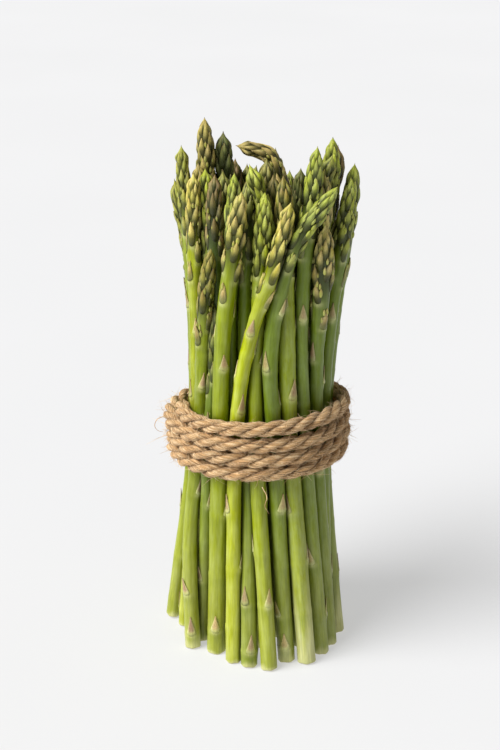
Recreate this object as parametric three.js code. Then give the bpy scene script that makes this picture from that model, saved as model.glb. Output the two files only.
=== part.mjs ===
// A bundle of green asparagus that stands on its cut ends, tied with four turns of jute rope.
// Millimetres, +Z up. The floor is z = 0 and the origin is the middle of the bundle's foot.
// -Y is the front, where the rope's turns lie furthest apart and most heads lean outwards.

import * as THREE from 'three'

// ---- Driving dimensions ----

const TIE_HEIGHT = 105
const CLEARANCE = 0.3

const SPEAR_SIDES = 8
const STEM_STEP = 28
const NECK_SHARE = 0.82 // stem radius under the head, as a share of the radius at the cut
const HEAD_SHARE = 0.96 // usual widest radius of the head, as a share of the same
const HEAD_STATIONS = [
  [0, 0],
  [5, 0.55],
  [14, 0.95],
  [28, 1],
] // distance below the tip, share of the head's radius

const BACK_RING = { first: 14, last: 154, count: 11, foot: 36, tie: 29.8, tip: 32 }
const HIDDEN_TIP_LOW = 196
const HIDDEN_TIP_HIGH = 213

const ROPE_RADIUS = 2.95
const ROPE_SIDES = 8
const ROPE_STEPS = 80
const ROPE_TURN_LENGTH = 238

// ---- The spears that shape the bundle's outline ----
// foot and tie are [x, y]; low, via and tip are [x, y, z]. girth is the radius at the cut end, and head
// the head's widest radius where it isn't the usual share of that.

const PLACED_SPEARS = [
  { foot: [-40, 5.5], tie: [-30, -1], via: [[-29.5, 0, 185]], tip: [-32.5, 2, 228.5], girth: 3.1, lift: 1 },
  { foot: [-35, 14], tie: [-29, 7], via: [[-31, 8, 185]], tip: [-36, 7, 212.5], girth: 2.5, head: 2.1 },
  { foot: [-34, -2], tie: [-28, -8], tip: [-27, -8, 219], girth: 3.1 },
  {
    foot: [-29.5, -22],
    low: [[-31, -18, 52]],
    tie: [-26, -15],
    via: [[-22, -18, 153]],
    tip: [-19.5, -20, 190],
    girth: 3.5,
    head: 3.1,
  },
  { foot: [-26, -15.5], tie: [-22, -20], tip: [-19.5, -17, 164], girth: 3, head: 1.7 },
  { foot: [-19, -26], tie: [-17, -25], via: [[-15, -26, 156]], tip: [-7, -27, 216], girth: 4, head: 3.7 },
  {
    foot: [-11, -35],
    tie: [-9.5, -28.5],
    via: [[-4, -31, 151], [5, -33, 180]],
    tip: [13, -32, 213],
    girth: 3.4,
  },
  { foot: [-4, -39], tie: [-5, -23], via: [[-6, -20, 154]], tip: [1, -6, 222], girth: 3.5 },
  { foot: [5, -41], tie: [-1, -30], via: [[-1, -28, 138]], tip: [2.5, -24, 215], girth: 3.6 },
  {
    foot: [13, -34],
    tie: [7, -29],
    via: [[5, -29, 145], [6.5, -29, 162], [11, -29, 180], [16, -30, 196], [20, -30, 203], [26, -29, 210]],
    tip: [32, -28, 218.5],
    girth: 3.7,
    head: 3.2,
  },
  { foot: [22, -35], tie: [14, -26], via: [[12, -27, 156]], tip: [10, -20, 221], girth: 4.1, head: 3.1 },
  { foot: [29, -27], tie: [20, -22], via: [[18, -23, 155]], tip: [24, -20, 233], girth: 3.4, head: 3.6 },
  {
    foot: [33, -19],
    tie: [25.5, -15.5],
    via: [[25, -17, 152]],
    tip: [27.5, -24, 201],
    girth: 3.4,
    head: 4.3,
  },
  { foot: [32.5, -12], tie: [29, -7.5], via: [[31, -8, 150]], tip: [39, -10, 217], girth: 3.2, head: 3.4 },
  { foot: [36.5, -9], low: [[32, -4, 50]], tie: [30, 0], tip: [40.5, -2, 221.5], girth: 3.2, head: 3.5 },
  { foot: [-27, 8], tie: [-21.5, 6.5], tip: [-22.8, 5, 239.5], girth: 3.7, head: 3.8 },
  { foot: [-28, 0], tie: [-22.5, 0], tip: [-25.5, 0, 221.5], girth: 3.1 },
  { foot: [-25, -7], tie: [-21, -8], tip: [-22.5, -6, 220.5], girth: 3.1 },
  { foot: [-18, -17], tie: [-16, -15], tip: [-18, -14, 220], girth: 3.6 },
  { foot: [-17, 10], tie: [-13.5, 7], tip: [-15, 8, 233], girth: 3.4 },
  { foot: [-19, -3], tie: [-14, -3], tip: [-15, -4, 219], girth: 3 },
  { foot: [-11, -24], tie: [-11, -19], tip: [-10, -20, 222], girth: 3.2 },
  {
    foot: [16, 17],
    tie: [11, 11],
    via: [[11, 13, 185], [10, 15, 205], [8, 15.5, 215], [3, 15, 222]],
    tip: [-9.5, 12, 226],
    girth: 3.3,
    head: 3.4,
  },
  { foot: [5, 24], tie: [4, 16], tip: [7.5, 24, 222], girth: 3 },
  { foot: [3, -2], tie: [2, -1], tip: [3.5, 2, 223], girth: 3.6 },
  { foot: [2, -22], tie: [1, -16], via: [[3, -14, 195]], tip: [-4.5, -12, 224], girth: 3.1 },
  { foot: [9, -12], tie: [6, -9], tip: [6, -6, 218], girth: 3.2 },
  { foot: [27, -6], tie: [22, -4], tip: [30.5, -8, 234], girth: 3.4, head: 3.7 },
  { foot: [29, 5], tie: [22, 4], tip: [33.5, 2, 228.5], girth: 3.2 },
  { foot: [18, -20], tie: [14, -15], tip: [31, -12, 228], girth: 3.3 },
  { foot: [25, -14], tie: [20, -12], tip: [27, -18, 221], girth: 3.3 },
  { foot: [16, 4], tie: [13, 2], tip: [18, 4, 218], girth: 3.3 },
  { foot: [12, -24], tie: [10, -18], tip: [14.5, -14, 210], girth: 3 },
]

// Inner spears, each as its [x, y] in the tie. Two taller ones stand behind the arched spear, and have
// their tips as well.
const INNER_PLACES = [
  [20, 11.5],
  [14, 18],
  [6, 22],
  [-2.5, 22.5, [-5, 28, 214]],
  [-10.5, 20, [-10, 26, 217]],
  [-17, 14.5],
  [-9, -11.5],
  [-6, 13.5],
  [-6, -4],
  [-5.5, 5],
  [4, 6],
  [12, -6],
  [-1.5, -9],
]

// The rope's winding, as [turns from the left, radius, height]. It starts tucked inside on the left,
// passes the front at a quarter turn, and ends tucked in behind on the right.
const ROPE_WINDING = [
  [0.01, 33.8, 111.8],
  [0.09, 35.8, 112.9],
  [0.17, 36.8, 113.9],
  [0.25, 37, 114.9],
  [0.38, 37.6, 115.6],
  [0.5, 38, 114.3],
  [0.62, 37.5, 111],
  [0.75, 37.2, 108.3],
  [0.9, 38.4, 107.3],
  [1.0, 39.2, 107],
  [1.12, 38.3, 107.1],
  [1.25, 37.2, 107.4],
  [1.38, 37.6, 107.4],
  [1.5, 38, 106.9],
  [1.62, 37.5, 104.5],
  [1.75, 37.4, 101.9],
  [1.9, 38, 100.6],
  [2.0, 38.2, 100.1],
  [2.25, 37.3, 100.7],
  [2.38, 37.6, 100.5],
  [2.5, 38.2, 100.2],
  [2.62, 37.5, 98.2],
  [2.75, 37.4, 95.5],
  [3.0, 38, 93],
  [3.12, 37.6, 93.2],
  [3.25, 37, 94.1],
  [3.5, 37.6, 93.8],
  [3.62, 36.6, 91.8],
  [3.72, 34.6, 89],
]

// ---- Settling: how firmly spears keep their places while they are pushed apart ----

const ROUNDS = 420
const FREE_ROUNDS = 140 // last rounds, with nothing but spacing and lengths
const PULL = 0.12
const SHAPE_KEEPING = 0.35
const NEIGHBOUR_ROUNDS = 15
const NEIGHBOUR_REACH = 4

// ---- Small helpers ----

function makeRandom(seed) {
  let state = seed
  return () => {
    state = (state * 1664525 + 1013904223) % 4294967296
    return state / 4294967296
  }
}

function polar(radius, degrees) {
  const angle = THREE.MathUtils.degToRad(degrees)
  return [radius * Math.cos(angle), radius * Math.sin(angle)]
}

// ---- Where the hidden spears stand ----

function backRingSpears(random) {
  const { first, last, count, foot, tie, tip } = BACK_RING
  const step = (last - first) / (count - 1)
  return Array.from({ length: count }, (_, i) => {
    const angle = first + step * i
    const tipHeight = THREE.MathUtils.lerp(HIDDEN_TIP_LOW, HIDDEN_TIP_HIGH, random())
    return {
      foot: polar(foot + 3 * random() - 1, angle + 4 * random() - 2),
      tie: polar(tie, angle),
      tip: [...polar(tip + 4 * random(), angle + 8 * random() - 4), tipHeight],
      girth: 3.1 + 0.6 * random(),
    }
  })
}

function innerSpears(random) {
  return INNER_PLACES.map(([x, y, placedTip]) => {
    const spread = 1.15 + 0.2 * random()
    const tipHeight = THREE.MathUtils.lerp(HIDDEN_TIP_LOW, HIDDEN_TIP_HIGH, random())
    return {
      foot: [x * 1.25, y * 1.25],
      tie: [x, y],
      tip: placedTip ?? [x * spread, y * spread, tipHeight],
      girth: 3.2 + 0.7 * random(),
    }
  })
}

// ---- Spears as chains of rings ----

// Distances below the tip of each ring, from the tip down to the cut end.
function ringStations(length) {
  const headEnd = HEAD_STATIONS.at(-1)[0]
  const stemSteps = Math.round((length - headEnd) / STEM_STEP)
  const stem = Array.from(
    { length: stemSteps },
    (_, i) => headEnd + ((length - headEnd) * (i + 1)) / stemSteps,
  )
  return [...HEAD_STATIONS.map(([distance]) => distance), ...stem]
}

function ringRadius(station, index, length, girth, head) {
  if (index < HEAD_STATIONS.length) return HEAD_STATIONS[index][1] * head
  const headEnd = HEAD_STATIONS.at(-1)[0]
  const neckEnd = headEnd + STEM_STEP
  const down = Math.max(0, (station - neckEnd) / (length - neckEnd))
  return girth * THREE.MathUtils.lerp(NECK_SHARE, 1, down)
}

// A spear's rings run from the foot (index 0) to the tip.
function makeChain({ foot, low = [], tie, via = [], tip, girth, head = HEAD_SHARE * girth, lift = 0 }) {
  const route = [[...foot, lift], ...low, [...tie, TIE_HEIGHT], ...via, tip]
  const curve = new THREE.CatmullRomCurve3(route.map((p) => new THREE.Vector3(...p)))
  const length = curve.getLength()
  const stations = ringStations(length)
  const radii = stations.map((station, i) => ringRadius(station, i, length, girth, head))
  const points = stations.map((station) => curve.getPointAt(Math.max(0, 1 - station / length)))
  radii.reverse()
  points.reverse()
  const gaps = points.slice(1).map((point, i) => point.distanceTo(points[i]))
  return { points, radii, gaps, targets: points.map((p) => p.clone()), floor: lift }
}

// ---- Settling the spears so that none touch ----

const across = new THREE.Vector3()
const alongA = new THREE.Vector3()
const alongB = new THREE.Vector3()
const push = new THREE.Vector3()

// How far along each of two segments their closest points lie, from 0 to 1.
function closestFractions(a0, a1, b0, b1) {
  alongA.subVectors(a1, a0)
  alongB.subVectors(b1, b0)
  across.subVectors(a0, b0)
  const a = alongA.lengthSq()
  const e = alongB.lengthSq()
  const b = alongA.dot(alongB)
  const c = alongA.dot(across)
  const f = alongB.dot(across)
  const denominator = a * e - b * b
  let s = denominator > 1e-9 ? THREE.MathUtils.clamp((b * f - c * e) / denominator, 0, 1) : 0.5
  let t = (b * s + f) / e
  if (t < 0 || t > 1) {
    t = THREE.MathUtils.clamp(t, 0, 1)
    s = THREE.MathUtils.clamp((b * t - c) / a, 0, 1)
  }
  return [s, t]
}

function listSegments(chains) {
  return chains.flatMap((chain, owner) =>
    chain.points.slice(1).map((_, i) => ({ owner, chain, i })),
  )
}

function segmentReach({ chain, i }) {
  const middle = chain.points[i].clone().lerp(chain.points[i + 1], 0.5)
  const half = chain.points[i].distanceTo(chain.points[i + 1]) / 2
  return { middle, reach: half + Math.max(chain.radii[i], chain.radii[i + 1]) }
}

function nearbyPairs(segments) {
  const reaches = segments.map(segmentReach)
  const pairs = []
  for (let m = 0; m < segments.length; m++) {
    for (let n = m + 1; n < segments.length; n++) {
      const [a, b] = [segments[m], segments[n]]
      if (a.owner === b.owner || (a.chain.fixed && b.chain.fixed)) continue
      const limit = reaches[m].reach + reaches[n].reach + NEIGHBOUR_REACH
      if (reaches[m].middle.distanceTo(reaches[n].middle) < limit) pairs.push([a, b])
    }
  }
  return pairs
}

function moveSegment({ chain, i }, fraction, move, amount) {
  chain.points[i].addScaledVector(move, amount * (1 - fraction))
  chain.points[i + 1].addScaledVector(move, amount * fraction)
}

function separate([a, b]) {
  const [a0, a1] = [a.chain.points[a.i], a.chain.points[a.i + 1]]
  const [b0, b1] = [b.chain.points[b.i], b.chain.points[b.i + 1]]
  const [s, t] = closestFractions(a0, a1, b0, b1)
  push.copy(a0).lerp(a1, s)
  across.copy(b0).lerp(b1, t)
  push.sub(across)
  const distance = push.length()
  const radiusA = THREE.MathUtils.lerp(a.chain.radii[a.i], a.chain.radii[a.i + 1], s)
  const radiusB = THREE.MathUtils.lerp(b.chain.radii[b.i], b.chain.radii[b.i + 1], t)
  const lacking = radiusA + radiusB + CLEARANCE - distance
  if (lacking <= 0 || distance < 1e-6) return
  push.multiplyScalar(lacking / distance)
  const shareA = 1 - 2 * s * (1 - s)
  const shareB = 1 - 2 * t * (1 - t)
  const half = a.chain.fixed || b.chain.fixed ? 1 : 0.5
  if (!a.chain.fixed) moveSegment(a, s, push, half / shareA)
  if (!b.chain.fixed) moveSegment(b, t, push, -half / shareB)
}

function keepLengths({ points, gaps }) {
  for (let i = 0; i < gaps.length; i++) {
    push.subVectors(points[i + 1], points[i])
    const stretch = 1 - gaps[i] / push.length()
    points[i].addScaledVector(push, stretch / 2)
    points[i + 1].addScaledVector(push, -stretch / 2)
  }
}

function keepShape({ points, targets }) {
  for (let i = 1; i < points.length - 1; i++) {
    const before = targets[i].distanceTo(targets[i - 1])
    const after = targets[i].distanceTo(targets[i + 1])
    const share = before / (before + after)
    across.copy(targets[i - 1]).lerp(targets[i + 1], share)
    push.subVectors(targets[i], across)
    across.copy(points[i - 1]).lerp(points[i + 1], share).add(push)
    push.subVectors(across, points[i]).multiplyScalar(SHAPE_KEEPING)
    points[i].addScaledVector(push, 0.5)
    points[i - 1].addScaledVector(push, -0.25)
    points[i + 1].addScaledVector(push, -0.25)
  }
}

function pullToPlaces({ points, targets }, strength) {
  points.forEach((point, i) => point.lerp(targets[i], strength))
}

function settle(chains, obstacles) {
  const segments = listSegments([...chains, ...obstacles])
  let pairs = []
  for (let round = 0; round < ROUNDS; round++) {
    if (round % NEIGHBOUR_ROUNDS === 0) pairs = nearbyPairs(segments)
    const pull = PULL * Math.max(0, 1 - round / (ROUNDS - FREE_ROUNDS))
    for (const chain of chains) {
      if (pull > 0) pullToPlaces(chain, pull)
      if (pull > 0) keepShape(chain)
      keepLengths(chain)
    }
    pairs.forEach(separate)
    for (const chain of chains) chain.points[0].z = chain.floor
  }
}

// ---- Meshes ----

// A lathe whose height counts rings, bent so that each ring sits square on its place in the chain.
function spearGeometry({ points, radii }) {
  const last = points.length - 1
  const profile = radii.map((radius, i) => new THREE.Vector2(radius, i))
  profile.unshift(new THREE.Vector2(0, 0))
  const geometry = new THREE.LatheGeometry(profile, SPEAR_SIDES).rotateX(Math.PI / 2)
  const turns = points.map((point, i) => {
    const before = points[Math.max(i - 1, 0)]
    const after = points[Math.min(i + 1, last)]
    const direction = i === 0 ? new THREE.Vector3(0, 0, 1) : after.clone().sub(before).normalize()
    return new THREE.Quaternion().setFromUnitVectors(new THREE.Vector3(0, 0, 1), direction)
  })
  const place = geometry.attributes.position
  const vertex = new THREE.Vector3()
  for (let v = 0; v < place.count; v++) {
    const ring = Math.round(place.getZ(v))
    vertex.set(place.getX(v), place.getY(v), 0).applyQuaternion(turns[ring]).add(points[ring])
    place.setXYZ(v, vertex.x, vertex.y, vertex.z)
  }
  geometry.computeVertexNormals()
  return geometry
}

function makeSpear(chain, index) {
  const green = new THREE.Color().setHSL(0.19 + 0.012 * (index % 5), 0.46, 0.38 + 0.02 * (index % 3))
  const material = new THREE.MeshStandardMaterial({ color: green, roughness: 0.45, metalness: 0 })
  const mesh = new THREE.Mesh(spearGeometry(chain), material)
  mesh.name = `spear_${String(index + 1).padStart(2, '0')}`
  return mesh
}

function ropeCurve() {
  const unrolled = new THREE.CatmullRomCurve3(
    ROPE_WINDING.map(([turn, r, z]) => new THREE.Vector3(turn * ROPE_TURN_LENGTH, r, z)),
  )
  const wound = unrolled.getSpacedPoints(ROPE_STEPS).map((point) => {
    const [x, y] = polar(point.y, 180 + (360 * point.x) / ROPE_TURN_LENGTH)
    return new THREE.Vector3(x, y, point.z)
  })
  return new THREE.CatmullRomCurve3(wound)
}

function makeRope(curve) {
  const corners = Array.from(
    { length: ROPE_SIDES },
    (_, i) => new THREE.Vector2(...polar(ROPE_RADIUS, ((i + 0.5) * 360) / ROPE_SIDES)),
  )
  const geometry = new THREE.ExtrudeGeometry(new THREE.Shape(corners), {
    steps: ROPE_STEPS,
    extrudePath: curve,
    bevelEnabled: false,
  })
  const material = new THREE.MeshStandardMaterial({ color: 0xc9a070, roughness: 0.95, metalness: 0 })
  const mesh = new THREE.Mesh(geometry, material)
  mesh.name = 'rope'
  return mesh
}

function ropeObstacle(curve) {
  const points = curve.getSpacedPoints(ROPE_STEPS)
  return { points, radii: points.map(() => ROPE_RADIUS), fixed: true }
}

// ---- The bundle ----

function makeBundle() {
  const random = makeRandom(7)
  const spears = [...PLACED_SPEARS, ...backRingSpears(random), ...innerSpears(random)]
  const chains = spears.map(makeChain)
  const rope = ropeCurve()
  settle(chains, [ropeObstacle(rope)])

  const bundle = new THREE.Group()
  chains.forEach((chain, index) => bundle.add(makeSpear(chain, index)))
  bundle.add(makeRope(rope))

  const centre = new THREE.Box3().setFromObject(bundle).getCenter(new THREE.Vector3())
  bundle.position.set(-centre.x, -centre.y, 0)
  return bundle
}

export default makeBundle()
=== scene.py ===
"""A bunch of thin green asparagus, tied with jute rope and standing on its cut ends.

Every spear is grown in a straight space of its own, with station (mm from the cut end), angle
(in radians: 0 faces the front, a quarter turn faces right) and distance from the centre line. It
is then bent along the centre line of its CAD node. The rope is three twisted strands along the
centre line of its node.
"""

import math

import bpy
import numpy as np
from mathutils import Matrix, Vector


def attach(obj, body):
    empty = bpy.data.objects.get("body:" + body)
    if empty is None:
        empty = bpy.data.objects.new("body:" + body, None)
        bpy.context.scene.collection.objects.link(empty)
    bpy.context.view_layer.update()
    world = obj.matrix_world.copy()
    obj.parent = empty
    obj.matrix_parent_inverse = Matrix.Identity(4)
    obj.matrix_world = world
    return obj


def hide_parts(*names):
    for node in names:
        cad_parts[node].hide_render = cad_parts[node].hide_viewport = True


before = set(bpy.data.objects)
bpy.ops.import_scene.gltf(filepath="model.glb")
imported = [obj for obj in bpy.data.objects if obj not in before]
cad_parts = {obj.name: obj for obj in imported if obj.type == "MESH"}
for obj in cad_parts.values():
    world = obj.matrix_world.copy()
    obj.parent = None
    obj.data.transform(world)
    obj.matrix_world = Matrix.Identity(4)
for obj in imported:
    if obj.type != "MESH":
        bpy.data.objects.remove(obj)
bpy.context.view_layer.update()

MM = 0.001
CAD_SIDES = 8
GOLDEN_ANGLE = math.radians(137.5)

# Spears
TABLE_STEP = 0.5
STEM_ROW = 0.9
STEM_SIDES = 40
INNER_SIDES = 24
INNER_SPEARS = range(45, 58)
USUAL_GIRTH = 4.0
CORE_INSET = 0.55
FILLING = 0.12
ROOM_STEP = 3.0
ROOM_SIDES = 20
SPARE_ROOM = 0.08
CONTACT_REACH = 2.2
CONTACT_SHADE = 0.85
# Distance of a scale's base below the tip, then the gap to the next scale, its length, width and bulge
SCALE_SIZES = np.array(
    [
        [0, 0.42, 4.4, 1.8, 0.50],
        [5, 0.62, 6.4, 2.6, 0.80],
        [13, 0.88, 8.2, 3.2, 0.95],
        [24, 1.5, 9.4, 3.8, 0.95],
        [34, 3.0, 9.4, 4.3, 0.75],
        [50, 8.0, 8.0, 4.9, 0.45],
        [75, 17.0, 7.6, 5.4, 0.25],
        [110, 27.0, 7.8, 6.0, 0.25],
    ]
)
BUD_ZONE = (14, 28, 44, 62)
FIRST_SCALE = 2.6
LOWEST_SCALE = 6
# Moves each spear to its own part of the noise
SPEAR_SHIFT = 41.0

# Rope
ROPE_START = (-33.3, -0.1, 111.8)
STRANDS = 3
STRAND_RADIUS = 1.56
STRAND_ORBIT = 1.72
LAY_LENGTH = 27.0
YARN_PITCH = 11.0
ROPE_STEP = 0.8
STRAND_SIDES = 18
# Moves each strand to its own part of the noise
STRAND_SHIFT = 900.0
LAID_FIBRES = 3000
STRAY_FIBRES = 2600
LOOSE_FIBRE_RADIUS = 0.2
# Two fibres that hang loose from the rope, each as points on its way
LOOSE_FIBRES = [
    [(2, -39.5, 90), (4, -41, 86), (3.2, -41.5, 82), (5, -41, 78)],
    [(-41, -6, 109), (-44.5, -7, 107.5), (-45.5, -7, 104.5), (-44, -6.5, 102), (-41, -6, 101)],
]

# Camera, in mm and degrees
CAMERA_PLACE = (-3.2, -648.0, 380.0)
CAMERA_PITCH = 21.4
CAMERA_LENS = 75.4

# Light. The floor glows like a light table, which keeps its shadows pale
SUN_PLACE = (-800, -420, 1000)
SUN_STRENGTH = 4.1
SUN_ANGLE = 40
WORLD_STRENGTH = 0.27
FLOOR_GLOW = 0.45


def linear(red, green, blue):
    """An sRGB colour, 0 to 255, as linear light."""
    share = np.array([red, green, blue]) / 255
    return np.where(share <= 0.04045, share / 12.92, ((share + 0.055) / 1.055) ** 2.4)


STEM_COLOURS = {
    "bright": linear(168, 178, 40),
    "fresh": linear(142, 156, 32),
    "green": linear(112, 132, 32),
    "deep": linear(88, 108, 32),
    "olive": linear(116, 120, 42),
}
HEAD_COLOURS = {
    "pale_tan": linear(204, 178, 116),
    "tan": linear(182, 156, 100),
    "gold": linear(168, 146, 88),
    "olive": linear(140, 132, 70),
    "green": linear(154, 158, 70),
    "purple": linear(124, 90, 68),
    "dark": linear(92, 86, 52),
}
CREAM = linear(216, 214, 150)
LOW_YELLOW = linear(198, 196, 100)
CUT_COLOUR = linear(206, 198, 146)
DRY_BROWN = linear(148, 112, 74)
MAUVE = linear(158, 116, 104)
PINK_TAN = linear(198, 166, 122)
# Painted shade: a near-black green for the gaps between the head's scales and for their covered parts
PAINTED_SHADE_GREEN = linear(36, 40, 15)
BUD_COLOUR = linear(182, 190, 88)
BLOOM_COLOUR = linear(176, 196, 170)
ROPE_DARK = linear(120, 85, 50)
ROPE_MID = linear(218, 172, 116)
ROPE_LIGHT = linear(254, 228, 182)

# Stem colour, head colour, pale length at the foot in mm, waxy bloom, and relief of the head
LOOKS = {
    1: ("fresh", "olive", 3, 0.0, 1.0),
    2: ("fresh", "olive", 3, 0.0, 1.0),
    3: ("bright", "tan", 2, 0.0, 1.0),
    4: ("fresh", "purple", 10, 0.0, 1.0),
    5: ("green", "dark", 3, 0.0, 0.8),
    6: ("fresh", "tan", 2, 0.0, 1.2),
    7: ("bright", "tan", 2, 0.0, 0.9),
    8: ("green", "olive", 3, 0.0, 0.9),
    9: ("fresh", "green", 3, 0.0, 1.2),
    10: ("green", "green", 12, 0.1, 1.2),
    11: ("fresh", "purple", 40, 0.3, 0.5),
    12: ("green", "green", 4, 0.2, 1.1),
    13: ("green", "tan", 4, 0.2, 1.0),
    14: ("green", "green", 4, 0.1, 1.1),
    15: ("green", "green", 20, 0.1, 1.1),
    16: ("olive", "gold", 4, 0.0, 1.0),
    17: ("olive", "gold", 4, 0.0, 1.0),
    18: ("fresh", "green", 4, 0.0, 1.0),
    19: ("deep", "purple", 4, 0.0, 0.9),
    20: ("deep", "dark", 4, 0.0, 0.7),
    21: ("deep", "olive", 4, 0.0, 0.8),
    22: ("green", "green", 4, 0.0, 1.2),
    23: ("olive", "pale_tan", 4, 0.0, 0.9),
    24: ("deep", "green", 4, 0.0, 0.8),
    25: ("olive", "olive", 4, 0.0, 0.7),
    26: ("fresh", "green", 4, 0.0, 0.9),
    27: ("green", "purple", 4, 0.0, 0.5),
    28: ("fresh", "green", 4, 0.0, 1.1),
    29: ("olive", "purple", 4, 0.0, 0.8),
    30: ("green", "olive", 4, 0.0, 0.9),
    31: ("green", "tan", 4, 0.0, 1.0),
    32: ("deep", "dark", 4, 0.0, 1.0),
    33: ("deep", "dark", 4, 0.0, 1.0),
    48: ("deep", "olive", 4, 0.0, 0.9),
    49: ("deep", "purple", 4, 0.0, 0.9),
}

# Spears whose last scale sits just above the cut and faces forward
LOW_SCALES = (4, 8, 10)
LOW_HEIGHT = 8


def mix(first, second, share):
    """Colours between two, where share is one number for each point."""
    share = np.asarray(share)[..., None]
    return first * (1 - share) + second * share


def smoothstep(low, high, value):
    share = np.clip((value - low) / (high - low), 0, 1)
    return share * share * (3 - 2 * share)


def smooth(knots, values, at):
    """Values on a smooth curve through the ones at the knots."""
    slopes = np.gradient(values, knots, axis=0)
    low = np.clip(np.searchsorted(knots, at, side="right") - 1, 0, len(knots) - 2)
    step = (knots[low + 1] - knots[low])[:, None]
    t = (at - knots[low])[:, None] / step
    start = (2 * t**3 - 3 * t**2 + 1) * values[low] + (t**3 - 2 * t**2 + t) * step * slopes[low]
    end = (3 * t**2 - 2 * t**3) * values[low + 1] + (t**3 - t**2) * step * slopes[low + 1]
    return start + end


def unit(vectors):
    return vectors / np.linalg.norm(vectors, axis=-1, keepdims=True)


def distances_along(points):
    return np.append(0, np.cumsum(np.linalg.norm(np.diff(points, axis=0), axis=1)))


# ---------------------------------------------------------------- CAD centre lines


def merged_node(name):
    """A CAD node's points in mm, each place once, and the points that edges join to each."""
    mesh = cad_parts[name].data
    places = np.empty(len(mesh.vertices) * 3)
    mesh.vertices.foreach_get("co", places)
    places = np.round(places.reshape(-1, 3) / MM, 3)
    points, index = np.unique(places, axis=0, return_inverse=True)
    index = index.ravel()
    joined = [set() for _ in points]
    for edge in mesh.edges:
        first, second = index[edge.vertices[0]], index[edge.vertices[1]]
        joined[first].add(second)
        joined[second].add(first)
    return points, joined


def rings_from(points, joined, start):
    """Rings of points, each one edge further from the start."""
    seen = set(start)
    ring = sorted(start)
    rings = []
    while ring:
        rings.append(points[ring])
        ahead = {other for point in ring for other in joined[point]} - seen
        seen |= ahead
        ring = sorted(ahead)
    return rings


def spear_rings(name):
    """The rings of a spear's node from its cut end to its apex."""
    points, joined = merged_node(name)
    hubs = [i for i, others in enumerate(joined) if len(others) == CAD_SIDES]
    foot = min(hubs, key=lambda i: points[i][2])
    return rings_from(points, joined, [foot])[1:]


def rope_rings():
    """The rings of the rope's node from its start to its end."""
    points, joined = merged_node("rope")
    away = np.linalg.norm(points - np.array(ROPE_START), axis=1)
    return rings_from(points, joined, np.argsort(away)[:CAD_SIDES].tolist())


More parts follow.
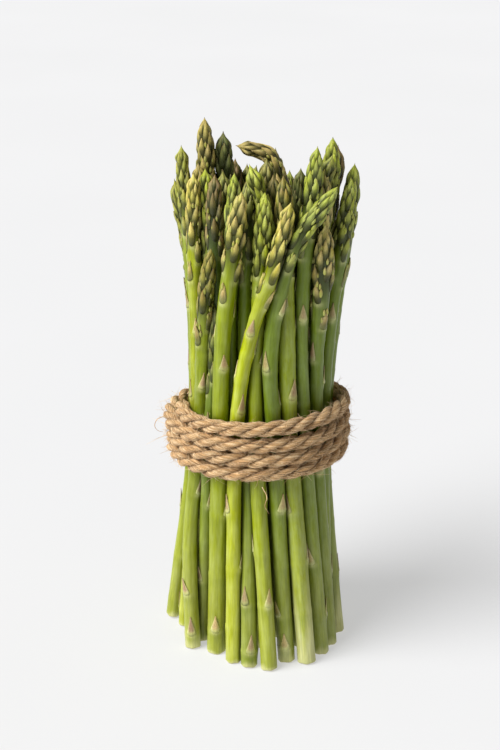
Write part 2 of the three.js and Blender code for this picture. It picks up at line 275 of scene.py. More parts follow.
class Spear:
    """A spear's centre line, directions and radius at each station, in mm."""

    def __init__(self, index):
        self.index = index
        self.name = f"spear_{index:02d}"
        self.random = np.random.default_rng(index)
        rings = spear_rings(self.name)
        middles = np.array([ring.mean(axis=0) for ring in rings])
        radii = np.array([np.linalg.norm(r - m, axis=1).mean() for r, m in zip(rings, middles)])
        knots = distances_along(middles)
        self.length = knots[-1]
        stations = np.linspace(0, self.length, int(self.length / TABLE_STEP) + 2)
        self.step = stations[1]
        self.centres = smooth(knots, middles, stations)
        self.radii = np.interp(stations, knots, radii)
        self.along = unit(np.gradient(self.centres, axis=0))
        camera_side = np.array([0.0, -1.0, 0.0])
        lean = (self.along @ camera_side)[:, None]
        self.front = unit(camera_side - lean * self.along)
        self.side = np.cross(self.along, self.front)
        self.girth = self.radii.max()
        self.size = self.girth / USUAL_GIRTH
        self.wave = self.random.uniform(0, 2 * math.pi, 8)
        self.scales = []
        self.room = None

    def between(self, table, station):
        at = np.clip(station, 0, self.length) / self.step
        low = np.minimum(at.astype(int), len(table) - 2)
        share = at - low
        if table.ndim > 1:
            share = share[..., None]
        return table[low] * (1 - share) + table[low + 1] * share

    def place(self, station, angle, reach):
        """Points in mm for stations, angles and distances from the centre line."""
        station, angle, reach = np.broadcast_arrays(station, angle, reach)
        over = (station - np.clip(station, 0, self.length))[..., None]
        along = self.between(self.along, station)
        front = self.between(self.front, station)
        side = self.between(self.side, station)
        outward = np.cos(angle)[..., None] * front + np.sin(angle)[..., None] * side
        return self.between(self.centres, station) + over * along + reach[..., None] * outward

    def measure_room(self, crowd):
        """Measures how far the surface is from its neighbours, on a grid of stations and angles."""
        station = np.arange(0, self.length + ROOM_STEP, ROOM_STEP)[:, None]
        angle = (np.arange(ROOM_SIDES) * 2 * math.pi / ROOM_SIDES)[None, :]
        surface = self.place(station, angle, self.between(self.radii, station)).reshape(-1, 1, 3)
        away = np.linalg.norm(crowd.points[:, None] - self.centres[None, ::8], axis=2).min(axis=1)
        near = (crowd.owners != self.index) & (away < 2 * self.girth + crowd.radii + 6)
        gaps = np.linalg.norm(surface - crowd.points[near], axis=2) - crowd.radii[near]
        self.room = gaps.min(axis=1).reshape(len(station), ROOM_SIDES)

    def room_at(self, station, angle):
        """The free distance from the CAD surface at these stations and angles."""
        row = np.clip(station / ROOM_STEP, 0, len(self.room) - 1.001)
        column = (angle / (2 * math.pi) % 1) * ROOM_SIDES
        low, left = row.astype(int), column.astype(int) % ROOM_SIDES
        right = (left + 1) % ROOM_SIDES
        up, over = row - low, column - np.floor(column)
        lower = self.room[low, left] * (1 - over) + self.room[low, right] * over
        upper = self.room[low + 1, left] * (1 - over) + self.room[low + 1, right] * over
        return lower * (1 - up) + upper * up

    def core(self, station):
        """The radius of the stem, which is thinner inside the head."""
        radius = self.between(self.radii, station)
        below_tip = self.length - station
        inset = CORE_INSET * self.size * smoothstep(44, 20, below_tip)
        return np.maximum(radius - inset, 0.5 * radius)

    def surface(self, station, angle):
        """The distance of the stem's surface from its centre line, with ridges and swollen nodes."""
        wave = self.wave
        radius = self.core(station)
        oval = 0.02 * np.cos(2 * angle + station / 70 + wave[0])
        waist = 0.018 * np.sin(station / 13 + wave[1]) + 0.012 * np.sin(station / 5.3 + wave[2])
        ridge = 0.011 * np.cos(9 * angle + wave[3]) * (1 + 0.6 * np.sin(station / 19 + wave[4]))
        ridge += 0.006 * np.cos(16 * angle + wave[5] + station / 60)
        radius = radius * (1 + oval + waist + ridge)
        filling = np.clip(self.room_at(station, angle) / 2 - SPARE_ROOM, 0, FILLING)
        radius = radius + filling * smoothstep(20, 44, self.length - station)
        for scale in self.scales:
            if scale["bulge"] < 0.6:
                radius = radius + node_swelling(scale, station, angle)
        return radius


def turned(angle, centre):
    """How far an angle is from a centre, between -pi and pi."""
    return (angle - centre + math.pi) % (2 * math.pi) - math.pi


def node_swelling(scale, station, angle):
    """The stem swells below a scale, most of all on the scale's side."""
    over = station - scale["station"] + 0.4
    fall = np.where(over < 0, 3.2, 0.8)
    height = np.exp(-((over / fall) ** 2))
    local = np.exp(-((turned(angle, scale["angle"]) / 0.8) ** 2))
    return scale["swell"] * height * (0.12 + 0.42 * local)


# ---------------------------------------------------------------- scales on a spear


def scale_sizes(below_tip):
    """Gap, length, width and bulge of a scale at that distance below the tip."""
    return [np.interp(below_tip, SCALE_SIZES[:, 0], SCALE_SIZES[:, i]) for i in range(1, 5)]


class Crowd:
    """Points along every spear and the rope, with their radii and the spear they belong to."""

    def __init__(self, spears, rope_line):
        self.points = np.concatenate([spear.centres[::4] for spear in spears])
        self.radii = np.concatenate([spear.radii[::4] for spear in spears])
        self.owners = np.concatenate([np.full(len(s.centres[::4]), s.index) for s in spears])
        rope = rope_line.centres[::2]
        self.points = np.concatenate([self.points, rope])
        self.radii = np.append(self.radii, np.full(len(rope), STRAND_ORBIT + STRAND_RADIUS))
        self.owners = np.append(self.owners, np.zeros(len(rope), int))


def make_scale(spear, below_tip, angle):
    """Chooses a scale's size, tilt and colour by its place on the spear."""
    random = spear.random
    gap, length, width, bulge = scale_sizes(below_tip)
    station = spear.length - below_tip
    if below_tip > 40:
        lift = random.choice([0.05, 0.25, 1.1], p=[0.5, 0.25, 0.25])
    else:
        lift = random.uniform(0, 0.5)
    relief = LOOKS[spear.index][4] if spear.index in LOOKS else 1.0
    return {
        "station": station,
        "below_tip": below_tip,
        "angle": angle,
        "length": min(length * random.uniform(0.85, 1.15), below_tip + 0.3),
        "width": min(width * random.uniform(0.88, 1.12), 1.6 * spear.girth) * spear.size**0.5,
        "bulge": bulge * spear.size * relief,
        "lift": lift,
        "swell": random.uniform(0.7, 1.2),
        "tint": random.uniform(0, 1),
        "light": random.uniform(0.8, 1.2),
        "skew": random.normal(0, 0.14),
    }


def grow_scales(spear):
    """Places scales in a spiral from the tip down, closer together towards the tip."""
    random = spear.random
    below_tip = FIRST_SCALE
    turn = random.uniform(0, 2 * math.pi)
    while below_tip < spear.length - LOWEST_SCALE:
        spear.scales.append(make_scale(spear, below_tip, turn + random.normal(0, 0.12)))
        turn += GOLDEN_ANGLE
        below_tip += scale_sizes(below_tip)[0] * spear.size**0.5 * random.uniform(0.85, 1.15)
    if spear.index in LOW_SCALES:
        facing = random.normal(0, 0.2)
        spear.scales.append(make_scale(spear, spear.length - LOW_HEIGHT, facing))


def grid_faces(rows, columns, closed):
    """The quads of a grid of points. The last column joins the first if it is closed."""
    row, column = np.mgrid[0 : rows - 1, 0 : columns - (not closed)]
    ahead = (column + 1) % columns
    corners = [row * columns + column, row * columns + ahead]
    corners += [(row + 1) * columns + ahead, (row + 1) * columns + column]
    return np.stack(corners, axis=-1).reshape(-1, 4)


def shell_faces(rows, columns):
    """The quads of a thin closed shell: an outer grid, an inner grid and the wall between them."""
    outer = grid_faces(rows, columns, False)
    count = rows * columns
    index = np.arange(count).reshape(rows, columns)
    rim = np.concatenate([index[0, :-1], index[:-1, -1], index[-1, :0:-1], index[:0:-1, 0]])
    ahead = np.roll(rim, -1)
    wall = np.stack([ahead, rim, rim + count, ahead + count], axis=-1)
    return np.concatenate([outer, outer[:, ::-1] + count, wall])


def fan_faces(rows, columns):
    """The triangles from the first and last ring of a closed grid to the two points after it."""
    count = rows * columns
    first = np.arange(columns)
    ahead = (first + 1) % columns
    last = first + count - columns
    bottom = np.stack([np.full(columns, count), ahead, first], axis=-1)
    top = np.stack([last, ahead + count - columns, np.full(columns, count + 1)], axis=-1)
    return np.concatenate([bottom, top])


class Piece:
    """Collects patches of surface with their colours and makes one object of them."""

    def __init__(self):
        self.points = []
        self.grown = []
        self.paint = []
        self.finish = []
        self.quads = []
        self.triangles = []
        self.count = 0

    def add(self, points, grown, paint, finish, quads, triangles=None):
        """Adds a patch: places in mm, places before bending, colours, and finish as 3 numbers."""
        self.points.append(points.reshape(-1, 3))
        self.grown.append(grown.reshape(-1, 3))
        self.paint.append(np.broadcast_to(paint, points.shape).reshape(-1, 3))
        self.finish.append(np.broadcast_to(finish, points.shape).reshape(-1, 3))
        self.quads.append(quads + self.count)
        if triangles is not None:
            self.triangles.append(triangles + self.count)
        self.count += self.points[-1].shape[0]

    def build(self, name, material, lowest=None):
        points = np.concatenate(self.points)
        if lowest is not None:
            points[:, 2] = np.maximum(points[:, 2], lowest)
        quads = np.concatenate(self.quads)
        triangles = np.concatenate(self.triangles or [np.empty((0, 3), int)])
        mesh = bpy.data.meshes.new(name)
        mesh.vertices.add(len(points))
        mesh.vertices.foreach_set("co", (points * MM).astype(np.float32).ravel())
        corners = np.concatenate([quads.ravel(), triangles.ravel()]).astype(np.int32)
        starts = np.arange(len(quads)) * 4
        starts = np.append(starts, len(quads) * 4 + np.arange(len(triangles)) * 3)
        mesh.loops.add(len(corners))
        mesh.loops.foreach_set("vertex_index", corners)
        mesh.polygons.add(len(starts))
        mesh.polygons.foreach_set("loop_start", starts.astype(np.int32))
        mesh.update(calc_edges=True)
        mesh.validate()
        mesh.shade_smooth()
        grown = mesh.attributes.new("grown", "FLOAT_VECTOR", "POINT")
        grown.data.foreach_set("vector", np.concatenate(self.grown).astype(np.float32).ravel())
        finish = mesh.attributes.new("finish", "FLOAT_VECTOR", "POINT")
        finish.data.foreach_set("vector", np.concatenate(self.finish).astype(np.float32).ravel())
        colours = np.ones((len(points), 4), np.float32)
        colours[:, :3] = np.clip(np.concatenate(self.paint), 0, 1)
        paint = mesh.attributes.new("paint", "FLOAT_COLOR", "POINT")
        paint.data.foreach_set("color", colours.ravel())
        mesh.materials.append(material)
        made = bpy.data.objects.new(name, mesh)
        bpy.context.scene.collection.objects.link(made)
        return made


class SpearPiece(Piece):
    """A piece whose patches are given in a spear's straight space."""

    def __init__(self, spear):
        super().__init__()
        self.spear = spear

    def grow(self, station, angle, reach, paint, finish, quads, triangles=None):
        station, angle, reach = np.broadcast_arrays(station, angle, reach)
        radius = self.spear.between(self.spear.radii, station)
        limit = radius + self.spear.room_at(station, angle) - SPARE_ROOM
        reach = np.minimum(reach, np.maximum(limit, 0.9 * radius))
        contact = smoothstep(CONTACT_REACH, 0.2, self.spear.room_at(station, angle))
        paint = paint * (1 - CONTACT_SHADE * contact)[..., None]
        points = self.spear.place(station, angle, reach)
        grown = np.stack([reach * np.cos(angle), reach * np.sin(angle), station], axis=-1)
        grown = grown + np.array([0, 0, SPEAR_SHIFT * self.spear.index])
        self.add(points, grown, paint, finish, quads, triangles)


# ---------------------------------------------------------------- parts of a spear


def spear_look(spear):
    """Stem colour, head colour, pale foot length and bloom. The spears out of sight vary at random."""
    random = spear.random
    if spear.index in LOOKS:
        stem, head, foot, bloom, relief = LOOKS[spear.index]
    else:
        stem = random.choice(["fresh", "green", "green", "olive", "bright"])
        head = random.choice(["green", "olive", "tan", "green", "purple", "gold"])
        foot = random.uniform(2, 18)
        bloom = random.choice([0.0, 0.1, 0.4])
    shade = random.uniform(0.94, 1.06)
    return STEM_COLOURS[stem] * shade, HEAD_COLOURS[head] * shade, foot, bloom


def stem_paint(spear, look, station, angle):
    """Stem colours: a pale foot, faint lengthwise bands, painted shade on the stem inside the head,
    and at each lower scale's node a cream band with painted highlight above a band of painted shade.
    """
    stem, head, foot, bloom = look
    wave = spear.wave
    bands = 1 + 0.07 * np.cos(3 * angle + wave[5] + station / 45)
    bands = bands + 0.05 * np.sin(station / 17 + wave[6]) + 0.04 * np.sin(station / 7 + wave[7])
    paint = stem * bands[..., None]
    paint = mix(paint, LOW_YELLOW, 0.3 * smoothstep(115, 15, station))
    ragged = foot * (1 + 0.35 * np.cos(2 * angle + wave[1]) + 0.2 * np.cos(5 * angle + wave[2]))
    paint = mix(paint, CREAM, 0.7 * smoothstep(ragged, ragged * 0.2, station))
    # Painted shade on the stem inside the head, where the scales cover it
    paint = mix(paint, PAINTED_SHADE_GREEN, 0.85 * smoothstep(40, 22, spear.length - station))
    for scale in spear.scales:
        if scale["below_tip"] > 30:
            over = station - scale["station"]
            near = np.exp(-((turned(angle, scale["angle"]) / 0.6) ** 2))
            # A cream band just below the scale: partly the pale colour at its foot, partly painted
            # highlight on the node's swelling
            ledge = near * np.exp(-(((over + 1.2) / 1.3) ** 2))
            paint = mix(paint, CREAM, 0.5 * ledge)
            # Painted shade on the lower slope of the node's swelling, below the scale
            below = smoothstep(-9, -2.5, over) * smoothstep(-1, -2.5, over)
            paint = mix(paint, stem * 0.8, 0.35 * below * (0.5 + 0.5 * near))
    return paint


def add_stem(piece, spear, look):
    """The stem from its cut end to the apex, with a flat rough cut."""
    sides = INNER_SIDES if spear.index in INNER_SPEARS else STEM_SIDES
    row = STEM_ROW * (2 if spear.index in INNER_SPEARS else 1)
    straight = np.arange(0.4, spear.length - 3, row)
    rounded = spear.length - 3 * (1 - np.sin(np.linspace(0, math.pi / 2, 6)[:-1]))
    station = np.concatenate([[0.0], straight, rounded])[:, None]
    angle = (np.arange(sides) * 2 * math.pi / sides)[None, :]
    reach = spear.surface(station, angle)
    reach[0] *= 0.93
    station, angle = (np.array(values) for values in np.broadcast_arrays(station, angle))
    ragged = np.cos(2 * angle[0] + spear.wave[0]) + np.cos(5 * angle[0] + spear.wave[1])
    station[:2] += 0.14 * (2 + ragged)
    paint = stem_paint(spear, look, station, angle)
    paint[0] = CUT_COLOUR * 0.85
    finish = np.zeros(paint.shape)
    finish[..., 1] = look[3] * smoothstep(30, 60, spear.length - station)
    finish[0] = (1, 0, 1)
    rows = len(station)
    ends = np.array([0.25, spear.length])
    station = np.append(station.ravel(), ends)
    angle = np.append(angle.ravel(), [0, 0])
    reach = np.append(reach.ravel(), [0, 0])
    paint = np.concatenate([paint.reshape(-1, 3), [CUT_COLOUR, look[1]]])
    finish = np.concatenate([finish.reshape(-1, 3), [(1, 0, 1), (1, 0, 0)]])
    quads = grid_faces(rows, sides, True)
    piece.grow(station, angle, reach, paint, finish, quads, fan_faces(rows, sides))


def scale_outline(up, in_head):
    """A scale's share of its width at each height: a thorn on the stem, leaf-like in the head."""
    leaf = (0.8 + 1.9 * up) * (1 - up) / 0.96
    thorn = (1 - up) ** 1.25 * 0.93
    return 0.06 + 0.94 * (leaf * in_head + thorn * (1 - in_head))


def scale_paint(look, scale, across, up, in_head):
    """A cream ledge and a pink-tan blade on the stem, or the head's own colour in the head."""
    stem, head = look[:2]
    ledge = mix(stem, CREAM, 0.5)
    tint = mix(PINK_TAN, MAUVE, scale["tint"] * 0.75)
    tint = mix(tint, head, 0.35)
    blade = mix(tint, mix(head, stem, 0.45 * scale["tint"]), in_head)
    body = mix(ledge, mix(stem, head, 0.25) * 0.9, in_head)
    rise = smoothstep(0.06, 0.3 + 0.45 * in_head, up)
    paint = mix(body, blade, rise * (0.9 - 0.25 * in_head * (1 - scale["tint"])))
    edge = smoothstep(0.45, 0.85, np.abs(across)) * (1 - 0.6 * up)
    paint = mix(paint, mix(CREAM, stem, 0.35), (0.7 - 0.4 * in_head) * edge)
    paint = mix(paint, DRY_BROWN, 0.35 * smoothstep(0.8, 1, up))
    return paint * scale["light"]


def add_scale(piece, spear, look, scale):
    """One scale leaf as a thin closed shell that hugs the stem, with a free or pressed tip."""
    in_head = float(smoothstep(64, 30, scale["below_tip"]))
    rows, columns = (9, 7) if in_head > 0.5 else (12, 9)
    across = np.linspace(-1, 1, columns)[None, :]
    up = (np.linspace(0, 1, rows) ** 0.85)[:, None]
    droop = 0.22 * scale["width"] * (1 - across**2) * (1 - up) ** 2
    station = scale["station"] + scale["length"] * up - droop
    half = scale["width"] / 2 * scale_outline(up, in_head)
    base = spear.surface(station, np.full_like(station, scale["angle"]))
    turn = np.clip(across * half / np.maximum(base + 0.3, 0.7), -2.0, 2.0)
    angle = scale["angle"] + turn + scale["skew"] * up
    mound = np.sin(math.pi * np.clip(up, 0, 1) ** 0.7)
    shingle = smoothstep(0, 0.55, up) * (1 - 0.3 * smoothstep(0.75, 1, up))
    swell = scale["bulge"] * (mound * (1 - in_head) + shingle * in_head)
    crown = 1 - (0.55 + 0.25 * in_head) * across**2
    rise = (0.12 + swell) * crown + scale["lift"] * up**2 * (0.6 + 0.4 * in_head)
    rise = rise + 0.14 * smoothstep(0, 0.15, up) * (1 - in_head)
    keel = 0.28 * in_head * np.exp(-((across / 0.3) ** 2)) * np.sin(math.pi * up)
    rise = rise + keel * spear.size
    closing = smoothstep(-0.8, 3.6, spear.length - station)
    outer = base + rise * (1 - in_head * (1 - closing))
    thickness = (0.5 - 0.3 * up) * np.ones_like(across)
    inner = np.maximum(outer - thickness, 0.1)
    paint = scale_paint(look, scale, across, up, in_head)
    # Painted highlight on the open middle and tip of each head scale, and painted shade in near-black
    # green on its covered base and flanks
    highlit_part = smoothstep(0.2, 0.65, up) * (1 - smoothstep(0.55, 1.0, np.abs(across)))
    paint = paint * (1 + 0.5 * in_head * highlit_part)[..., None]
    paint = mix(paint, PAINTED_SHADE_GREEN, 0.82 * in_head * (1 - highlit_part))
    finish = np.zeros(paint.shape)
    finish[..., 0] = smoothstep(0.05, 0.3, up) * np.ones_like(across)
    finish[..., 2] = np.abs(across) * up
    station, angle = np.broadcast_arrays(station, angle)
    # The inner side of the shell gets the same colour made darker: painted shade under the scale
    piece.grow(
        np.stack([station, station]),
        np.stack([angle, angle]),
        np.stack([outer, inner]),
        np.stack([paint, paint * 0.75]),
        np.stack([finish, finish]),
        shell_faces(rows, columns),
    )


def add_bud(piece, look, station, angle, reach, size, light):
    """A small pointed bud, longer than it is wide."""
    rows, columns = 5, 8
    tilt = np.linspace(-0.36, 0.42, rows)[:, None] * math.pi
    round_angle = (np.arange(columns) * 2 * math.pi / columns)[None, :]
    across = 0.40 * size * np.cos(tilt) * np.cos(round_angle)
    outward = 0.40 * size * np.cos(tilt) * np.sin(round_angle)
    upward = 0.95 * size * np.sin(tilt) * np.ones_like(round_angle)
    across = np.append(across.ravel(), [0, 0])
    outward = np.append(outward.ravel(), [0, 0.1 * size])
    upward = np.append(upward.ravel(), [-0.9 * size, 1.25 * size])
    colour = mix(BUD_COLOUR, look[1], 0.25 + 0.55 * smoothstep(0.1 * size, 0.9 * size, upward))
    paint = colour * light
    finish = np.broadcast_to(np.array([0.5, 0, 0.3]), paint.shape)
    quads = grid_faces(rows, columns, True)[:, ::-1]
    fans = fan_faces(rows, columns)[:, ::-1]
    bud_angle = angle + across / max(reach, 1.0)
    piece.grow(station + upward, bud_angle, reach + outward, paint, finish, quads, fans)


def add_buds(piece, spear, look, scale):
    """Knobbly side buds around the foot of a scale in and just below the head."""
    first, full, fading, last = BUD_ZONE
    below = scale["below_tip"]
    amount = smoothstep(first, full, below) * smoothstep(last, fading, below)
    if amount < 0.12:
        return
    random = spear.random
    half_turn = scale["width"] * 0.5 / spear.girth
    spots = [(-0.75, 0.55), (0.75, 0.6), (-0.35, 0.95), (0.4, 0.9)]
    for side, height in spots:
        if random.uniform() > 0.3 + 0.4 * amount:
            continue
        size = random.uniform(1.3, 2.0) * spear.size * (0.7 + 0.3 * amount)
        station = scale["station"] + scale["length"] * height + random.normal(0, 0.5)
        angle = scale["angle"] + side * half_turn + random.normal(0, 0.06)
        reach = float(spear.core(np.array(station))) + size * random.uniform(0.12, 0.3)
        add_bud(piece, look, station, angle, reach, size, random.uniform(0.8, 1.15))


def make_spear(spear, material):
    look = spear_look(spear)
    piece = SpearPiece(spear)
    add_stem(piece, spear, look)
    for scale in spear.scales:
        add_scale(piece, spear, look, scale)
        add_buds(piece, spear, look, scale)
    made = piece.build(f"grown_{spear.name}", material, lowest=0.0)
    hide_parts(spear.name)
    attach(made, "root")
    return made


# ---------------------------------------------------------------- rope


class Strand:
    """One strand's centre line about the rope, with outward and cross directions."""

    def __init__(self, line, number):
        turn = -2 * math.pi * (line.stations / LAY_LENGTH + number / STRANDS)
        orbit = line.around(turn)
        self.centres = line.centres + STRAND_ORBIT * orbit
        self.along = unit(np.gradient(self.centres, axis=0))
        lean = (orbit * self.along).sum(axis=1, keepdims=True)
        self.outward = unit(orbit - lean * self.along)
        self.cross = np.cross(self.along, self.outward)


class RopeLine:
    """The rope's centre line with outward and cross directions, in mm."""

    def __init__(self):
        middles = np.array([ring.mean(axis=0) for ring in rope_rings()])
        knots = distances_along(middles)
        self.length = knots[-1]
        self.stations = np.linspace(0, self.length, int(self.length / ROPE_STEP))
        self.centres = smooth(knots, middles, self.stations)
        self.along = unit(np.gradient(self.centres, axis=0))
        flat = self.centres * np.array([1, 1, 0])
        outward = unit(flat - flat.mean(axis=0) * np.array([1, 1, 0]))
        lean = (outward * self.along).sum(axis=1, keepdims=True)
        self.outward = unit(outward - lean * self.along)
        self.cross = np.cross(self.along, self.outward)

    def around(self, angle):
        """Directions at an angle about the centre line."""
        return np.cos(angle)[:, None] * self.outward + np.sin(angle)[:, None] * self.cross


def yarn_relief(station, angle, random):
    """The strand's surface height, from fibres that run round it at the yarn's pitch."""
    spin = angle - 2 * math.pi * station / YARN_PITCH
    relief = np.zeros(np.broadcast(station, angle).shape)
    for count, height in ((3, 0.09), (5, 0.09), (7, 0.07)):
        drift = random.uniform(0.05, 0.2)
        phase = random.uniform(0, 2 * math.pi)
        relief += height * np.cos(count * spin + np.sin(station * drift + phase) * 2 + phase)
    return relief + 0.05 * np.sin(station / 7 + random.uniform(0, 6))


def add_strand(piece, line, strand, number, random):
    """One strand of the rope, wound about the centre line, with a relief of fibres."""
    centres, outward, cross = strand.centres, strand.outward, strand.cross
    station = line.stations[:, None]
    angle = (np.arange(STRAND_SIDES) * 2 * math.pi / STRAND_SIDES)[None, :]
    relief = yarn_relief(station, angle, random)
    reach = STRAND_RADIUS + relief
    ends = np.minimum(line.stations, line.length - line.stations)[:, None]
    reach = reach * (0.55 + 0.45 * smoothstep(0, 2.5, ends))
    spokes = np.cos(angle)[..., None] * outward[:, None] + np.sin(angle)[..., None] * cross[:, None]
    points = centres[:, None] + reach[..., None] * spokes
    spin = angle - 2 * math.pi * station / YARN_PITCH
    height = station + STRAND_SHIFT * number + 0 * angle
    grown = np.stack([reach * np.cos(spin), reach * np.sin(spin), height], axis=-1)
    # Painted shade: each strand is darker on its inner side, toward the rope's core, and in the
    # grooves of its fibre relief
    lit_side = smoothstep(-0.6, 0.9, np.cos(angle) + 0 * station)
    paint = mix(ROPE_DARK, ROPE_MID, np.clip(0.3 + 0.6 * lit_side + 1.6 * relief, 0, 1))
    rows = len(line.stations)
    points = np.concatenate([points.reshape(-1, 3), centres[[0, -1]]])
    grown = np.concatenate([grown.reshape(-1, 3), grown[[0, -1], 0]])
    paint = np.concatenate([paint.reshape(-1, 3), [ROPE_LIGHT, ROPE_LIGHT]])
    quads = grid_faces(rows, STRAND_SIDES, True)[:, ::-1]
    fans = fan_faces(rows, STRAND_SIDES)[:, ::-1]
    piece.add(points, grown, paint, np.array([1.0, 0.0, 0.0]), quads, fans)


def add_fibre(piece, middle, radius, colour, number):
    """A fibre along a line of points, as a thin tube of three sides."""
    steps = len(middle)
    share = np.linspace(0, 1, steps)[:, None]
    along = unit(np.gradient(middle, axis=0))
    first = unit(np.cross(along, [0.3, 0.5, 0.81]))
    second = np.cross(along, first)
    angle = (np.arange(3) * 2 * math.pi / 3)[None, :, None]
    spokes = np.cos(angle) * first[:, None] + np.sin(angle) * second[:, None]
    taper = (1 - 0.7 * share**2)[:, None]
    points = middle[:, None] + radius * taper * spokes
    points = np.concatenate([points.reshape(-1, 3), middle[[0, -1]]])
    grown = points * 0.2 + number
    quads = grid_faces(steps, 3, True)
    piece.add(points, grown, colour, np.array([1.0, 0.0, 0.0]), quads, fan_faces(steps, 3))


def add_laid_fibres(piece, line, strands):
    """Coarse fibres that lie on the strands and follow the yarn's twist."""
    random = np.random.default_rng(72)
    for number in range(LAID_FIBRES):
        strand = strands[random.integers(0, STRANDS)]
        count = random.integers(6, 15)
        first = random.integers(0, len(line.stations) - count)
        pick = slice(first, first + count)
        share = np.linspace(0, 1, count)
        angle = random.normal(0, 1.1) + 2 * math.pi * line.stations[pick] / YARN_PITCH
        angle = angle - 2 * math.pi * line.stations[first + count // 2] / YARN_PITCH
        angle = angle + random.normal(0, 0.5) * (share - 0.5)
        lift = random.uniform(0.02, 0.16) * np.sin(math.pi * share) ** 0.7 - 0.04
        spokes = np.cos(angle)[:, None] * strand.outward[pick]
        spokes = spokes + np.sin(angle)[:, None] * strand.cross[pick]
        middle = strand.centres[pick] + (STRAND_RADIUS + lift)[:, None] * spokes
        tone = random.uniform(0, 1)
        colour = mix(mix(ROPE_DARK, ROPE_MID, min(1, 2 * tone)), ROPE_LIGHT, max(0, 1.6 * tone - 0.6))
        add_fibre(piece, middle, random.uniform(0.11, 0.24), colour, number)


def make_stray_fibres(line, material):
    """Hairs that stand off the rope, more of them along its strands than straight out."""
    random = np.random.default_rng(71)
    piece = Piece()
    for number in range(STRAY_FIBRES):
        at = random.integers(2, len(line.stations) - 2)
        angle = random.normal(0, 1.25)
        out = math.cos(angle) * line.outward[at] + math.sin(angle) * line.cross[at]
        side = np.cross(line.along[at], out)
        start = line.centres[at] + (STRAND_ORBIT + STRAND_RADIUS - 0.55) * out
        lean = random.uniform(0.25, 1.0)
        way = random.choice([-1, 1]) * line.along[at] * random.uniform(0.4, 1.2)
        way = unit(way + lean * out + random.normal(0, 0.35) * side)
        curl = random.normal(0, 0.5, 3) - 0.45 * out * lean
        length = min(0.8 + random.gamma(1.7, 1.0), 9)
        share = np.linspace(0, 1, 8)[:, None]
        middle = start + length * (share * way + share**2 * curl)
        colour = mix(ROPE_MID, ROPE_LIGHT, random.uniform(0, 1))
        add_fibre(piece, middle, random.uniform(0.05, 0.1), colour, number)
    for number, points in enumerate(LOOSE_FIBRES):
        points = np.array(points, float)
        knots = distances_along(points)
        middle = smooth(knots, points, np.linspace(0, knots[-1], 24))
        add_fibre(piece, middle, LOOSE_FIBRE_RADIUS, ROPE_MID, number)
    made = piece.build("rope_fibres", material)
    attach(made, "root")


def make_rope(line, material):
    random = np.random.default_rng(70)
    strands = [Strand(line, number) for number in range(STRANDS)]
    piece = Piece()
    for number, strand in enumerate(strands):
        add_strand(piece, line, strand, number, random)
    made = piece.build("twisted_rope", material)
    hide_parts("rope")
    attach(made, "root")
    piece = Piece()
    add_laid_fibres(piece, line, strands)
    made = piece.build("rope_yarn", material)
    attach(made, "root")


# ---------------------------------------------------------------- materials


class Nodes:
    """Adds shader nodes to a new material with few words."""

    def __init__(self, name):
        self.material = bpy.data.materials.new(name)
        self.material.use_nodes = True
        self.tree = self.material.node_tree
        self.shader = self.tree.nodes["Principled BSDF"]

    def add(self, kind, **settings):
        node = self.tree.nodes.new(kind)
        for key, value in settings.items():
            setattr(node, key, value)
        return node

    def link(self, output, socket):
        self.tree.links.new(output, socket)

    def attribute(self, name):
        return self.add("ShaderNodeAttribute", attribute_name=name)

    def noise(self, vector, stretch, scale, detail=3.0, roughness=0.55):
        """Noise on a vector that is stretched first. Returns its factor."""
        mapping = self.add("ShaderNodeMapping")
        mapping.inputs["Scale"].default_value = stretch
        self.link(vector, mapping.inputs["Vector"])
        noise = self.add("ShaderNodeTexNoise")
        noise.inputs["Scale"].default_value = scale
        noise.inputs["Detail"].default_value = detail
        noise.inputs["Roughness"].default_value = roughness
        self.link(mapping.outputs["Vector"], noise.inputs["Vector"])
        return noise.outputs["Fac"]

    def spread(self, value, low, high, new_low, new_high):
        """Maps a value from one range to another, and clamps it."""
        node = self.add("ShaderNodeMapRange")
        ranges = {"From Min": low, "From Max": high, "To Min": new_low, "To Max": new_high}
        for key, number in ranges.items():
            node.inputs[key].default_value = number
        self.link(value, node.inputs["Value"])
        return node.outputs["Result"]

    def math(self, operation, first, second):
        node = self.add("ShaderNodeMath", operation=operation)
        for socket, value in zip(node.inputs, (first, second)):
            if isinstance(value, (int, float)):
                socket.default_value = value
            else:
                self.link(value, socket)
        return node.outputs["Value"]

    def mix(self, factor, first, second, blend="MIX"):
        """Mixes two colours, each an output or a plain colour."""
        node = self.add("ShaderNodeMix", data_type="RGBA", blend_type=blend)
        sockets = (node.inputs[0], node.inputs[6], node.inputs[7])
        for socket, value in zip(sockets, (factor, first, second)):
            if isinstance(value, (int, float)):
                socket.default_value = value
            elif isinstance(value, np.ndarray):
                socket.default_value = (*value, 1)
            else:
                self.link(value, socket)
        return node.outputs[2]

    def brighten(self, colour, value, saturation=None):
        """Scales a colour's brightness by a value that varies over the surface."""
        node = self.add("ShaderNodeHueSaturation")
        self.link(colour, node.inputs["Color"])
        self.link(value, node.inputs["Value"])
        if saturation is not None:
            self.link(saturation, node.inputs["Saturation"])
        return node.outputs["Color"]

    def bump(self, height, strength, distance, before=None):
        node = self.add("ShaderNodeBump")
        node.inputs["Strength"].default_value = strength
        node.inputs["Distance"].default_value = distance
        self.link(height, node.inputs["Height"])
        if before is not None:
            self.link(before, node.inputs["Normal"])
        return node.outputs["Normal"]


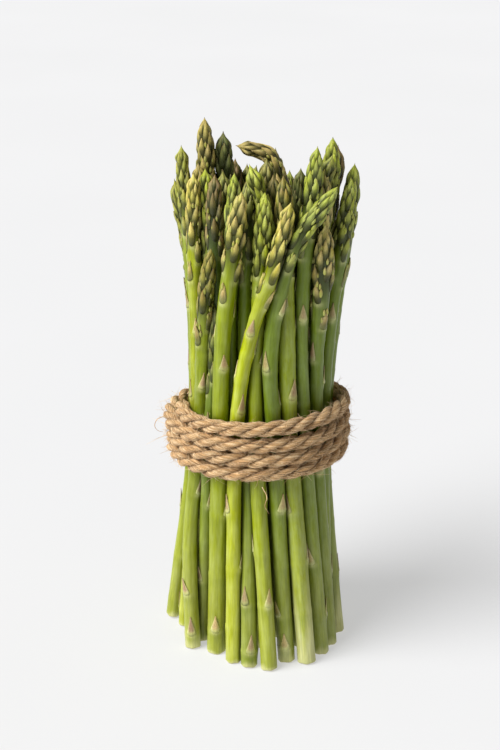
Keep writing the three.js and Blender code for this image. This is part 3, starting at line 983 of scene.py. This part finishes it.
def spear_material():
    """Waxy green skin with lengthwise streaks, dry speckled scales and a pale bloom."""
    nodes = Nodes("asparagus_skin")
    grown = nodes.attribute("grown").outputs["Vector"]
    paint = nodes.attribute("paint").outputs["Color"]
    parts = nodes.add("ShaderNodeSeparateXYZ")
    nodes.link(nodes.attribute("finish").outputs["Vector"], parts.inputs["Vector"])
    scale, bloom, dry = (parts.outputs[axis] for axis in "XYZ")
    streaks = nodes.noise(grown, (1, 1, 0.06), 1.2, detail=5, roughness=0.65)
    blotches = nodes.noise(grown, (1, 1, 0.25), 0.35, detail=3)
    speckle = nodes.noise(grown, (1, 1, 0.5), 2.4, detail=4, roughness=0.75)
    light = nodes.spread(streaks, 0.3, 0.7, 0.80, 1.18)
    light = nodes.math("MULTIPLY", light, nodes.spread(blotches, 0.3, 0.7, 0.88, 1.12))
    grain = nodes.spread(speckle, 0.3, 0.7, 0.7, 1.3)
    grain = nodes.math("ADD", nodes.math("MULTIPLY", nodes.math("SUBTRACT", grain, 1.0), scale), 1.0)
    light = nodes.math("MULTIPLY", light, grain)
    colour = nodes.brighten(paint, light, nodes.spread(blotches, 0.3, 0.7, 1.1, 0.9))
    rubbed = nodes.noise(grown, (1, 1, 0.3), 0.8, detail=5, roughness=0.65)
    frost = nodes.math("MULTIPLY", bloom, nodes.spread(rubbed, 0.42, 0.7, 0.0, 0.4))
    colour = nodes.mix(frost, colour, BLOOM_COLOUR)
    nodes.link(colour, nodes.shader.inputs["Base Color"])
    rough = nodes.spread(blotches, 0.3, 0.7, 0.34, 0.46)
    rough = nodes.math("ADD", rough, nodes.math("MULTIPLY", scale, 0.16))
    rough = nodes.math("ADD", rough, nodes.math("MULTIPLY", frost, 0.3))
    nodes.link(rough, nodes.shader.inputs["Roughness"])
    nodes.shader.inputs["Specular IOR Level"].default_value = 0.38
    normal = nodes.bump(streaks, 0.35, 0.00022)
    normal = nodes.bump(speckle, 0.25, 0.00012, normal)
    nodes.link(normal, nodes.shader.inputs["Normal"])
    return nodes.material


def rope_material():
    """Dull jute: pale and brown fibres that run along the yarn."""
    nodes = Nodes("jute")
    grown = nodes.attribute("grown").outputs["Vector"]
    paint = nodes.attribute("paint").outputs["Color"]
    fibres = nodes.noise(grown, (1, 1, 0.12), 1.5, detail=5, roughness=0.75)
    patches = nodes.noise(grown, (0.4, 0.4, 0.09), 1.0, detail=2)
    colour = nodes.mix(nodes.spread(fibres, 0.5, 0.62, 0.0, 0.85), paint, ROPE_LIGHT)
    colour = nodes.mix(nodes.spread(fibres, 0.47, 0.36, 0.0, 0.85), colour, ROPE_DARK)
    colour = nodes.brighten(colour, nodes.spread(patches, 0.3, 0.7, 0.86, 1.14))
    nodes.link(colour, nodes.shader.inputs["Base Color"])
    nodes.link(nodes.spread(fibres, 0.3, 0.7, 0.95, 0.75), nodes.shader.inputs["Roughness"])
    nodes.shader.inputs["Specular IOR Level"].default_value = 0.25
    nodes.shader.inputs["Sheen Weight"].default_value = 0.2
    nodes.shader.inputs["Sheen Roughness"].default_value = 0.5
    normal = nodes.bump(fibres, 1.0, 0.0009)
    nodes.link(normal, nodes.shader.inputs["Normal"])
    return nodes.material


def floor_material():
    nodes = Nodes("pale_floor")
    place = nodes.add("ShaderNodeTexCoord").outputs["Object"]
    mottle = nodes.noise(place, (1, 1, 1), 3.0, detail=2)
    mottle = nodes.spread(mottle, 0.3, 0.7, 0.0, 1.0)
    shade = nodes.mix(mottle, linear(164, 164, 165), linear(167, 167, 168))
    nodes.link(shade, nodes.shader.inputs["Base Color"])
    nodes.shader.inputs["Emission Color"].default_value = (1.0, 1.0, 1.0, 1)
    nodes.shader.inputs["Emission Strength"].default_value = FLOOR_GLOW
    nodes.shader.inputs["Roughness"].default_value = 0.8
    nodes.shader.inputs["Specular IOR Level"].default_value = 0.2
    return nodes.material


# ---------------------------------------------------------------- stage, light and camera


def make_floor():
    mesh = bpy.data.meshes.new("floor")
    reach = 6.0
    corners = [(-reach, -reach, 0), (reach, -reach, 0), (reach, reach, 0), (-reach, reach, 0)]
    mesh.from_pydata(corners, [], [(0, 1, 2, 3)])
    mesh.materials.append(floor_material())
    floor = bpy.data.objects.new("floor", mesh)
    bpy.context.scene.collection.objects.link(floor)


def aim(thing, place, target):
    thing.location = Vector(place) * MM
    way = Vector(target) * MM - thing.location
    thing.rotation_euler = way.to_track_quat("-Z", "Y").to_euler()


def make_sun():
    data = bpy.data.lights.new("window", "SUN")
    data.energy = SUN_STRENGTH
    data.angle = math.radians(SUN_ANGLE)
    light = bpy.data.objects.new("window", data)
    bpy.context.scene.collection.objects.link(light)
    aim(light, SUN_PLACE, (0, 0, 100))


def light_world():
    world = bpy.data.worlds.new("studio")
    world.use_nodes = True
    background = world.node_tree.nodes["Background"]
    background.inputs["Color"].default_value = (1.0, 1.0, 1.0, 1)
    background.inputs["Strength"].default_value = WORLD_STRENGTH
    bpy.context.scene.world = world


def make_camera():
    data = bpy.data.cameras.new("camera")
    data.lens = CAMERA_LENS
    data.sensor_width = 36
    data.clip_start = 0.01
    data.clip_end = 50
    camera = bpy.data.objects.new("camera", data)
    camera.location = Vector(CAMERA_PLACE) * MM
    camera.rotation_euler = (math.radians(90 - CAMERA_PITCH), 0, 0)
    bpy.context.scene.collection.objects.link(camera)
    bpy.context.scene.camera = camera


make_camera()
light_world()
make_sun()
make_floor()
bpy.context.scene.view_settings.view_transform = "Standard"

spears = [Spear(index) for index in range(1, len(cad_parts))]
rope_line = RopeLine()
crowd = Crowd(spears, rope_line)
skin = spear_material()
for spear in spears:
    spear.measure_room(crowd)
    grow_scales(spear)
    make_spear(spear, skin)

jute = rope_material()
make_rope(rope_line, jute)
make_stray_fibres(rope_line, jute)
